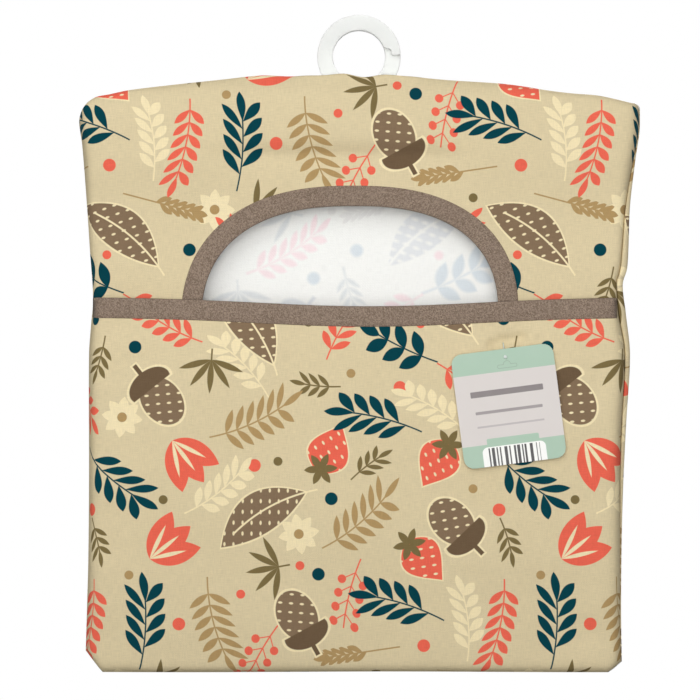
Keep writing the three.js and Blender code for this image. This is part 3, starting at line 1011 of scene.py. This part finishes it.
def slubbed(graph, place, colour, strength):
    """A colour with the fine light and dark threads of woven cotton."""
    across = graph.noise(place, (SLUB_LENGTH, SLUB_WIDTH))
    upward = graph.noise(place, (SLUB_WIDTH, SLUB_LENGTH))
    level = graph.times_plus(graph.plus(across, upward), strength, 1 - strength)
    return graph.vector("MULTIPLY", colour, graph.add("ShaderNodeCombineXYZ", level, level, level).outputs[0])


def cloth_outside():
    graph = new_material("printed_cotton")
    place = graph.place()
    colour = slubbed(graph, place, print_colour(graph, place, PRINT_EDGE), 0.2)
    height = weave_height(graph, place, WEAVE_PITCH)
    roughness = graph.between(graph.noise(place, (6.0, 6.0)), 0.82, 0.96)
    return graph.finish(colour, roughness, height, WEAVE_RELIEF, 0.1)


def cloth_reverse():
    """The unprinted side, where the print's dark inks show through softly."""
    graph = new_material("cotton_reverse")
    place = graph.place()
    inks = graph.vector("DIVIDE", print_colour(graph, place, REVERSE_EDGE), GROUND[:3])
    inks = graph.vector("MINIMUM", inks, (1.0, 1.0, 1.0))
    inks = graph.vector("MULTIPLY_ADD", inks, SHOW_THROUGH, [1 - share for share in SHOW_THROUGH])
    colour = graph.vector("MULTIPLY", inks, REVERSE[:3])
    colour = slubbed(graph, place, colour, 0.1)
    height = weave_height(graph, place, WEAVE_PITCH)
    roughness = graph.between(graph.noise(place, (6.0, 6.0)), 0.84, 0.96)
    return graph.finish(colour, roughness, height, WEAVE_RELIEF, 0.2)


def binding_tape():
    graph = new_material("binding_tape")
    place = graph.place()
    turned = graph.add("ShaderNodeMapping", place, (0.0, 0.0, 0.0), (0.0, 0.0, math.pi / 4))
    cells = graph.vector("DIVIDE", turned.outputs[0], (0.4, 0.6, 1.0))
    specks = graph.add("ShaderNodeTexVoronoi", cells, voronoi_dimensions="2D")
    specks.inputs["Scale"].default_value = 1.0
    fleck = graph.add("ShaderNodeSeparateColor", specks.outputs["Color"]).outputs[0]
    cloud = graph.noise(place, (16.0, 9.0), 1.0)
    colour = graph.mix(fleck, srgb(118, 100, 85), srgb(166, 147, 130))
    colour = graph.mix(graph.between(cloud, -0.15, 0.35), colour, srgb(134, 116, 102))
    colour = slubbed(graph, place, colour, 0.3)
    height = graph.plus(weave_height(graph, place, TAPE_WEAVE_PITCH), fleck)
    roughness = graph.between(fleck, 0.85, 1.0)
    return graph.finish(colour, roughness, height, 0.1, 0.2, {"Sheen Weight": 0.05})


def sewing_thread():
    graph = new_material("sewing_thread")
    twist_and_shade = graph.sine(graph.times(graph.plus(*graph.axes(graph.place())), THREAD_TWIST))
    # The colour follows the twist's height, lighter on its crests and darker in its grooves: painted shading
    # of the twisted thread.
    colour = graph.mix(graph.between(twist_and_shade, 0.5, 0.9), srgb(112, 94, 78), srgb(164, 144, 126))
    return graph.finish(colour, graph.between(twist_and_shade, 0.7, 0.85), twist_and_shade, 0.04, 0.3)


def hanger_plastic():
    graph = new_material("hanger_plastic")
    place = graph.place()
    flow = graph.noise(place, (30.0, 12.0), 3.0)
    grain = graph.noise(place, (0.8, 0.8), 2.0)
    colour = graph.mix(flow, srgb(230, 232, 228), srgb(237, 239, 235))
    roughness = graph.between(flow, 0.46, 0.6)
    soft = {"Subsurface Weight": 0.8, "Subsurface Scale": 5 * MM, "Subsurface Radius": (1.0, 1.0, 1.0)}
    return graph.finish(colour, roughness, grain, 0.02, 0.25, soft)


def card_box(graph, place, centre, half, corner):
    """Distance to a rectangle with rounded corners on the tag."""
    moved = graph.vector("ABSOLUTE", graph.vector("SUBTRACT", place, (*centre, 0.0)))
    past = graph.vector("SUBTRACT", moved, (half[0] - corner, half[1] - corner, 1.0))
    inner = graph.least(graph.most(*graph.axes(past)), 0.0)
    outer = graph.vector("LENGTH", graph.vector("MAXIMUM", past, (0.0, 0.0, 0.0)))
    return graph.minus(graph.plus(inner, outer), corner)


def tag_card():
    """Pale card with a mint band above and below, plain rules, and a panel of bars."""
    graph = new_material("tag_card")
    graph.sharpness = -1 / TAG_PRINT_EDGE
    place = graph.place()
    height = graph.axes(place)[1]
    middle, top = TAG_OFFSET
    bottom = top - TAG_SIZE[1]

    def box(x, z, half_width, half_height, corner):
        return card_box(graph, place, (x, z), (half_width, half_height), corner)

    colour = graph.cover(CARD_GREY, graph.minus(top - TAG_BAND, height), CARD_MINT)
    colour = graph.cover(colour, graph.minus(height, bottom + TAG_BAND), CARD_MINT)
    colour = graph.cover(colour, box(middle, bottom, *TAG_TAB, 0.8), CARD_MINT)
    panel = box(middle, bottom, *TAG_PANEL, 3.0)
    colour = graph.cover(colour, panel, CARD_WHITE)
    across = graph.vector("MULTIPLY", place, (1.0, 0.0, 0.0))
    stripes = graph.times_plus(graph.noise(across, (TAG_BAR_SIZE, 1.0), 0.0), 5.0, -2.45)
    inset_x, inset_z = TAG_BARS_INSET
    inner = box(middle, bottom, TAG_PANEL[0] - inset_x, TAG_PANEL[1] - inset_z, 0.2)
    colour = graph.cover(colour, graph.most(stripes, inner), srgb(58, 56, 58))
    for drop, half_width, half_height, level in TAG_RULES:
        rule = box(middle, top - drop, half_width, half_height, 0.4)
        colour = graph.cover(colour, rule, srgb(level, level - 8, level - 8))
    slot = box(TAG_SLOT_SIDE, top - TAG_SLOT_DROP, *TAG_SLOT_HALF, 0.8)
    hump_place = (TAG_SLOT_SIDE, top - TAG_HUMP_DROP)
    hump = ellipse(graph, place, hump_place, (TAG_HUMP_RADIUS, TAG_HUMP_RADIUS))
    outline = graph.magnitude(graph.least(slot, hump))
    colour = graph.cover(colour, outline, srgb(142, 164, 146), 0.15)
    fibre = graph.noise(place, (0.7, 0.7), 3.0)
    shade = graph.between(graph.noise(place, (14.0, 14.0)), 0.0, 0.07)
    colour = graph.mix(shade, colour, CARD_WHITE)
    return graph.finish(colour, graph.between(fibre, 0.45, 0.65), fibre, 0.02, 0.4)


def card_edge():
    graph = new_material("card_edge")
    fibre = graph.noise(graph.place(), (0.3, 0.3), 3.0)
    colour = graph.mix(fibre, srgb(226, 222, 212), srgb(244, 242, 236))
    return graph.finish(colour, graph.between(fibre, 0.8, 0.95), fibre, 0.05, 0.2)


def fastener_nylon():
    graph = new_material("fastener_nylon")
    clouds = graph.noise(graph.place(), (1.2, 1.2), 2.0)
    colour = graph.mix(clouds, srgb(188, 199, 191), srgb(208, 215, 210))
    return graph.finish(colour, graph.between(clouds, 0.25, 0.42), clouds, 0.02, 0.5)


# Hangers
def hanger_outline():
    """Corners of one hanger, its hook open to +X, anticlockwise seen from the front."""
    arm_top = plate_top_at(plate_half)
    arm_bottom = arm_top - PLATE_ARM_DEPTH
    r = PLATE_END_RADIUS
    centre_z = -HOOK_INNER_RADIUS
    points = [(-PLATE_FLAT_HALF, plate_low.z), (PLATE_FLAT_HALF, plate_low.z)]

    def arc(x, z, radius, start, end, steps):
        for i in range(steps + 1):
            angle = lerp(start, end, i / steps)
            points.append((x + radius * math.cos(angle), z + radius * math.sin(angle)))

    def top_line(start, end):
        for i in range(1, PLATE_TOP_STEPS + 1):
            x = lerp(start, end, i / PLATE_TOP_STEPS)
            points.append((x, plate_top_at(x)))

    arc(plate_half - r, arm_bottom + r, r, -math.pi / 2, 0, PLATE_CORNER_STEPS)
    arc(plate_half - r, arm_top - r, r, 0, math.pi / 2, PLATE_CORNER_STEPS)
    top_line(plate_half - r, HOOK_INNER_RADIUS * math.cos(HOOK_ROOT_ANGLE))
    tip_inner = hook_outer_radius - HOOK_TIP_BAND
    for i in range(HOOK_INNER_STEPS + 1):
        angle = lerp(HOOK_ROOT_ANGLE, HOOK_TIP_ANGLE, i / HOOK_INNER_STEPS)
        taper = max(HOOK_TAPER_ANGLE - angle, 0.0) / (HOOK_TAPER_ANGLE - HOOK_TIP_ANGLE)
        radius = lerp(HOOK_INNER_RADIUS, tip_inner, smooth(taper / HOOK_STEP_SHARE))
        points.append((radius * math.cos(angle), centre_z + radius * math.sin(angle)))
    foot_angle = math.pi + math.asin((centre_z - PLATE_TOP) / hook_outer_radius)
    arc(0, centre_z, hook_outer_radius, HOOK_TIP_ANGLE, foot_angle, HOOK_OUTER_STEPS)
    top_line(hook_outer_radius * math.cos(foot_angle), -plate_half + r)
    arc(-plate_half + r, arm_top - r, r, math.pi / 2, math.pi, PLATE_CORNER_STEPS)
    arc(-plate_half + r, arm_bottom + r, r, math.pi, 1.5 * math.pi, PLATE_CORNER_STEPS)
    return points


def make_hanger(name, node, body, mirror, material):
    low, high = node_box(node)
    outline = [(mirror * x, z) for x, z in hanger_outline()]
    if mirror < 0:
        outline.reverse()
    count = len(outline)
    points = [(x, low.y, z) for x, z in outline] + [(x, high.y, z) for x, z in outline]
    faces = [tuple(range(count)), tuple(reversed(range(count, 2 * count)))]
    for i in range(count):
        after = (i + 1) % count
        faces.append((i, i + count, after + count, after))
    piece = make_piece(name, points, faces, [material], body)
    mark_places(piece, [(p[0] + p[1], p[2]) for p in points])
    bevel = piece.modifiers.new("edges", "BEVEL")
    bevel.width = PLATE_BEVEL * MM
    bevel.segments = PLATE_BEVEL_STEPS
    bevel.limit_method = "ANGLE"
    bevel.angle_limit = BEVEL_ANGLE
    piece.data.set_sharp_from_angle(angle=SHARP_ANGLE)
    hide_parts(node)
    return piece


# Cloth panels
def panel_places(edge, high_at):
    """Rows of (x, z) places from a top line down to the hem, from the left seam to an edge."""
    width = edge(band_end) - left_seam(band_end)
    columns = spread(width, round(width / GRID_STEP))
    middle_x = left_seam(band_end) + width / 2
    count = round((high_at(middle_x, width / 2, width / 2) - bag_bottom) / GRID_STEP)
    heights = []
    for from_left in columns:
        share = from_left / width
        x = lerp(left_seam(SHOULDER_HEIGHT), edge(SHOULDER_HEIGHT), share)
        high = high_at(x, from_left, width - from_left)
        low = bottom_at(x, from_left, width - from_left)
        heights.append([high - step for step in spread(high - low, count)])
    rows = []
    for level in zip(*heights):
        rows.append([(lerp(left_seam(z), edge(z), d / width), z) for d, z in zip(columns, level)])
    return rows


def make_panel(name, rows, places, flip, materials, node):
    points = [point for row in rows for point in row]
    faces = grid_faces(len(rows), len(rows[0]), flip)
    piece = make_piece(name, points, faces, materials, "bag")
    mark_places(piece, places)
    thicken(piece, CLOTH, 1)
    thin_seams(piece)
    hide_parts(node)
    return piece


def make_back(materials):
    rows = []
    places = []
    for level in panel_places(right_edge, top_at):
        row = [(x, back_y(x, z), z) for x, z in level]
        flat = [flat_place(x, z, curve_through(BACK_DEPTH, z)) for x, z in level]
        edge_z = level[-1][1]
        wrap = wrap_at(edge_z)
        groove = groove_at(edge_z)
        for step in range(1, WRAP_STEPS + 1):
            angle = math.pi / 2 * step / WRAP_STEPS
            x = right_edge(edge_z) - wrap * (1 - math.cos(angle))
            sunk = groove * max(step - WRAP_STEPS + 1, 0)
            row.append((x, sunk - SEAM_LIFT * wrap * math.sin(angle), edge_z))
            flat.append((flat[-1][0] + wrap * math.pi / 2 / WRAP_STEPS, edge_z))
        rows.append(row)
        places.extend((BACK_PRINT_SHIFT - across, up) for across, up in flat)
    return make_panel("back_cloth", rows, places, True, materials, "back_panel")


def make_pocket(materials):
    def high_at(x, from_left, from_right):
        return band_top_at(x) - CUT_EDGE

    level_rows = panel_places(right_seam, high_at)
    rows = [[(x, pocket_y(x, z), z) for x, z in level] for level in level_rows]
    places = []
    for x, z in (spot for level in level_rows for spot in level):
        across, up = flat_place(x, z, curve_through(POCKET_DEPTH, z))
        places.append((across + POCKET_PRINT_SHIFT[0], up + POCKET_PRINT_SHIFT[1]))
    return make_panel("pocket_cloth", rows, places, False, materials, "pocket_panel")


def arch_line(grow):
    """The mouth's edge moved outward by grow, from the left foot over the top to the right foot."""
    line = []
    for i in range(ARCH_STEPS + 1):
        angle = math.pi * (1 - i / ARCH_STEPS)
        side = math.copysign(abs(math.cos(angle)) ** (2 / MOUTH_ROUNDNESS), math.cos(angle))
        up = math.sin(angle) ** (2 / MOUTH_ROUNDNESS) if 0 < i < ARCH_STEPS else 0.0
        middle = mouth_middle + lerp(*MOUTH_LEAN, up)
        line.append((middle + (mouth_half + grow) * side, yoke_floor + (mouth_rise + grow) * up))
    return resample(line, ARCH_COLUMNS)


def yoke_outline():
    """The yoke's outer edge, from the left seam over the shoulders to the right seam."""
    width = right_seam(band_end) - left_seam(band_end)
    top = []
    for from_left in spread(width, YOKE_TOP_STEPS):
        share = from_left / width
        x = lerp(left_seam(SHOULDER_HEIGHT), right_seam(SHOULDER_HEIGHT), share)
        z = top_at(x, from_left, width - from_left)
        top.append((lerp(left_seam(z), right_seam(z), share), z))
    left = []
    right = []
    for i in range(YOKE_SIDE_STEPS):
        left_z = lerp(yoke_floor, top[0][1], i / YOKE_SIDE_STEPS)
        right_z = lerp(yoke_floor, top[-1][1], i / YOKE_SIDE_STEPS)
        left.append((left_seam(left_z), left_z))
        right.append((right_seam(right_z), right_z))
    return resample(left + top + right[::-1], ARCH_COLUMNS)


def make_yoke(materials):
    outer = yoke_outline()
    inner = arch_line(CUT_EDGE)
    edge_rows = len(EDGE_STEPS)
    places = []
    for step in (0.0, *EDGE_STEPS):
        places.append([a + (b - a).normalized() * step for a, b in zip(outer, inner)])
    for i in range(1, YOKE_ROWS + 1):
        places.append([a.lerp(b, i / YOKE_ROWS) for a, b in zip(places[edge_rows], inner)])
    rows = [[(p.x, yoke_y(p.x, p.y), p.y) for p in row] for row in places]
    flat = [flat_place(p.x, p.y, curve_through(YOKE_DEPTH, p.y)) for row in places for p in row]
    return make_panel("yoke_cloth", rows, flat, False, materials, "front_yoke")


# Bindings: a strip folded over a cut edge, as (distance from the fold, lift off the cloth) points
BINDING_PROFILE = (
    (11.0, 0.1), (10.75, 0.42), (9.9, 0.62), (7.5, 0.72), (4.5, 0.76), (2.0, 0.72), (0.8, 0.6), (0.2, 0.3),
    (0.0, -0.2), (0.2, -0.75), (0.8, -1.1), (3.0, -1.2), (7.0, -1.2), (10.0, -1.15), (10.6, -0.9),
)
BINDING_FRONT_POINTS = 9


def make_binding(name, stations, surface, flip, material, node):
    """stations: (fold place, direction into the cloth) pairs along the edge."""
    rows = []
    places = []
    for reach, lift in BINDING_PROFILE:
        row = []
        travelled = 0.0
        for i, (fold, inward) in enumerate(stations):
            spot = fold + inward * reach
            row.append((spot.x, surface(spot.x, spot.y) - lift, spot.y))
            travelled += (fold - stations[i - 1][0]).length if i else 0.0
            places.append((travelled, reach + TAPE_BACK_SHIFT * (lift < 0)))
        rows.append(row)
    points = [point for row in rows for point in row]
    faces = grid_faces(len(rows), len(stations), flip)
    piece = make_piece(name, points, faces, [material], "bag")
    mark_places(piece, places)
    thicken(piece, BINDING_CLOTH)
    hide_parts(node)
    return piece


def make_stitches(name, stations, surface, material):
    """A row of stitches along a binding, near its free edge."""
    reach = BINDING_WIDTH - STITCH_INSET
    lift = curve_through(sorted(BINDING_PROFILE[:BINDING_FRONT_POINTS]), reach)
    line = []
    for fold, inward in stations:
        spot = fold + inward * reach
        line.append((spot.x, surface(spot.x, spot.y) - lift, spot.y))
    length = sum((Vector(b) - Vector(a)).length for a, b in zip(line, line[1:]))
    count = int(length / (STITCH_LENGTH + STITCH_GAP))
    marks = resample(line, count * STITCH_POINTS)
    end_sink = Vector((0, STITCH_RADIUS * STITCH_END_SINK, 0))
    end_radius = STITCH_RADIUS * STITCH_END_RADIUS
    radii = [end_radius] + [STITCH_RADIUS] * (STITCH_POINTS - 2) + [end_radius]
    shapes = []
    for i in range(count):
        run = marks[i * STITCH_POINTS:(i + 1) * STITCH_POINTS]
        sunk = [run[0] + end_sink, *run[1:-1], run[-1] + end_sink]
        shapes.append(tube(sunk, radii, STITCH_SIDES))
    points, faces = join_shapes(shapes)
    piece = make_piece(name, points, faces, [material], "bag")
    mark_places(piece, [(p.x, p.z) for p in points])
    return piece


def pocket_stations():
    low = left_seam(band_end) + BAND_END_INSET
    high = right_seam(band_end) - BAND_END_INSET
    count = round((high - low) / BAND_STEP)
    stations = []
    for i in range(count + 1):
        x = lerp(low, high, i / count)
        stations.append((Vector((x, band_top_at(x))), Vector((0, -1))))
    return stations


def arch_stations():
    line = arch_line(0.0)
    stations = []
    for i, fold in enumerate(line):
        along = (line[min(i + 1, len(line) - 1)] - line[max(i - 1, 0)]).normalized()
        stations.append((fold, Vector((-along.y, along.x))))
    return stations


# Swing tag
def tag_point(across, y, up):
    """A place on the tilted tag, from its own across and up distances."""
    x = tag_pivot.x + across * math.cos(TAG_TILT) - up * math.sin(TAG_TILT)
    z = tag_pivot.z + across * math.sin(TAG_TILT) + up * math.cos(TAG_TILT)
    return Vector((x, y, z))


def make_tag(materials):
    half_width = TAG_SIZE[0] / 2
    right = TAG_OFFSET[0] + half_width
    left = TAG_OFFSET[0] - half_width
    top = TAG_OFFSET[1]
    bottom = top - TAG_SIZE[1]
    r = TAG_CORNER
    corners = ((right - r, top - r), (left + r, top - r), (left + r, bottom + r), (right - r, bottom + r))
    edge = []
    for quarter, (x, z) in enumerate(corners):
        for i in range(TAG_CORNER_STEPS + 1):
            angle = math.pi / 2 * (quarter + i / TAG_CORNER_STEPS)
            edge.append((x + r * math.cos(angle), z + r * math.sin(angle)))
    edge = resample(edge + edge[:1], TAG_SPOKES)[:-1]
    hole = Vector((0, -TAG_HOLE_DROP))
    rings = []
    for share in TAG_RINGS:
        ring = []
        for p in edge:
            rim = hole + (p - hole).normalized() * TAG_HOLE_RADIUS
            ring.append(rim.lerp(p, share))
        rings.append(ring)
    flat = [(p.x, p.y) for ring in rings for p in ring]
    points = [tag_point(across, tag_low.y, up) for across, up in flat]
    faces = []
    for k in range(len(rings) - 1):
        for i in range(TAG_SPOKES):
            after = (i + 1) % TAG_SPOKES
            a = k * TAG_SPOKES
            b = a + TAG_SPOKES
            faces.append((a + i, b + i, b + after, a + after))
    piece = make_piece("tag_sheet", points, faces, materials, "tag")
    piece.data.shade_flat()
    mark_places(piece, flat)
    thicken(piece, tag_high.y - tag_low.y, 1, 1)
    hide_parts("swing_tag")


def make_fastener(material):
    cloth_y = pocket_y(tag_pivot.x, tag_pivot.z)
    bar_y = cloth_y + CLOTH + BAR_BEHIND
    run_y = (cloth_y + tag_high.y) / 2
    drop = TAG_HOLE_DROP
    route = [
        (bar_y, 0), (cloth_y, 0), (run_y, -FILAMENT_BEND), (run_y - FILAMENT_BOW, -drop / 2),
        (run_y, -drop + FILAMENT_BEND), (tag_low.y, -drop), (fastener_front + KNOB_SINK, -drop),
    ]
    line = resample([tag_point(0, y, up) for y, up in route], FILAMENT_STEPS)
    shapes = [tube(line, [FILAMENT_RADIUS] * len(line), FILAMENT_SIDES)]
    half = BAR_LENGTH / 2
    bar = [(inset - half, radius) for inset, radius in BAR_END]
    bar += [(-across, radius) for across, radius in reversed(bar)]
    shapes.append(tube([tag_point(a, bar_y, 0) for a, _ in bar], [r for _, r in bar], BAR_SIDES))
    knob = [tag_point(0, fastener_front + y, -drop) for y, _ in KNOB]
    shapes.append(tube(knob, [r for _, r in KNOB], KNOB_SIDES))
    points, faces = join_shapes(shapes)
    piece = make_piece("tag_loop", points, faces, [material], "tag")
    mark_places(piece, [(p.x + p.y, p.z) for p in points])
    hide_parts("tag_fastener")


# Stage
def add_camera():
    middle = PHOTO_PIXELS / 2
    data = bpy.data.cameras.new("camera")
    data.sensor_width = SENSOR_WIDTH
    data.lens = SENSOR_WIDTH * CAMERA_DISTANCE / (PHOTO_PIXELS * PHOTO_SCALE)
    camera = add_object("camera", data)
    x = (middle - ORIGIN_PIXEL[0]) * PHOTO_SCALE
    z = (ORIGIN_PIXEL[1] - middle) * PHOTO_SCALE
    camera.location = Vector((x, -CAMERA_DISTANCE - FRAMED_DEPTH, z)) * MM
    camera.rotation_euler = (math.pi / 2, 0, 0)
    bpy.context.scene.camera = camera


def seen_directly(graph):
    """1 for the rays that show the background itself or mirror it, 0 for the rays that light the object."""
    path = graph.add("ShaderNodeLightPath")
    total = path.outputs["Is Camera Ray"]
    for name in ("Is Glossy Ray", "Is Transmission Ray"):
        total = graph.most(total, path.outputs[name])
    return total


def add_world():
    world = bpy.data.worlds.new("studio")
    bpy.context.scene.world = world
    world.use_nodes = True
    world.node_tree.nodes.clear()
    graph = Graph(world.node_tree)
    light = graph.add("ShaderNodeBackground", (1, 1, 1, 1), WORLD_LIGHT)
    white = graph.add("ShaderNodeBackground", (1, 1, 1, 1), 1.0)
    mix = graph.add("ShaderNodeMixShader", seen_directly(graph), light.outputs[0], white.outputs[0])
    graph.add("ShaderNodeOutputWorld", mix.outputs[0])


def floor_material():
    """A pale floor that shows the object's shadow near it and fades to white further out."""
    graph = new_material("pale_floor")
    place = graph.add("ShaderNodeNewGeometry").outputs["Position"]
    distance = graph.vector("LENGTH", graph.vector("MULTIPLY", place, (1.0, 1.0, 0.0)))
    fade = graph.math("DIVIDE", distance, SHADOW_RADIUS * MM, clamp=True)
    shown = graph.times(seen_directly(graph), graph.between(fade, FLOOR_WHITE, 1.0))
    plain = graph.add("ShaderNodeBsdfDiffuse")
    grain = graph.noise(place, (0.02, 0.02))
    graph.feed(plain.inputs["Color"], graph.mix(grain, srgb(148, 148, 147), srgb(158, 158, 156)))
    white = graph.add("ShaderNodeEmission")
    mix = graph.add("ShaderNodeMixShader", shown, plain.outputs[0], white.outputs[0])
    graph.add("ShaderNodeOutputMaterial", mix.outputs[0])
    return graph.material


def add_floor():
    mesh = bpy.data.meshes.new("floor")
    z = bag_bottom - FLOOR_DROP
    rim = []
    for i in range(FLOOR_SIDES):
        angle = 2 * math.pi * i / FLOOR_SIDES
        rim.append(Vector((FLOOR_RADIUS * math.cos(angle), FLOOR_RADIUS * math.sin(angle), z)) * MM)
    mesh.from_pydata(rim, [], [tuple(range(FLOOR_SIDES))])
    mesh.materials.append(floor_material())
    add_object("floor", mesh)


def add_light(name, place, target, size, power):
    data = bpy.data.lights.new(name, "AREA")
    data.shape = "DISK"
    data.size = size * MM
    data.energy = power
    lamp = add_object(name, data)
    lamp.location = Vector(place) * MM
    lamp.rotation_euler = (Vector(target) - Vector(place)).to_track_quat("-Z", "Y").to_euler()


def add_stage():
    bpy.context.scene.view_settings.view_transform = "Standard"
    add_world()
    add_floor()
    for name, place, size, power in LAMPS:
        add_light(name, place, LIT_PLACE, size, power)


def build():
    add_camera()
    add_stage()
    plastic = hanger_plastic()
    cloth = [cloth_outside(), cloth_reverse()]
    tape = binding_tape()
    thread = sewing_thread()
    hangers = [
        make_hanger("front_hanger_moulding", "front_hanger", "hanger_front", 1, plastic),
        make_hanger("rear_hanger_moulding", "rear_hanger", "hanger_rear", -1, plastic),
    ]
    back = make_back(cloth)
    yoke = make_yoke(cloth)
    pocket = make_pocket(cloth)
    arch = arch_stations()
    band = pocket_stations()
    arch_tape = make_binding("arch_tape", arch, yoke_y, False, tape, "arch_binding")
    arch_seam = make_stitches("arch_stitches", arch, yoke_y, thread)
    band_tape = make_binding("pocket_tape", band, pocket_y, True, tape, "pocket_binding")
    band_seam = make_stitches("pocket_stitches", band, pocket_y, thread)
    make_tag([tag_card(), card_edge()])
    make_fastener(fastener_nylon())


build()
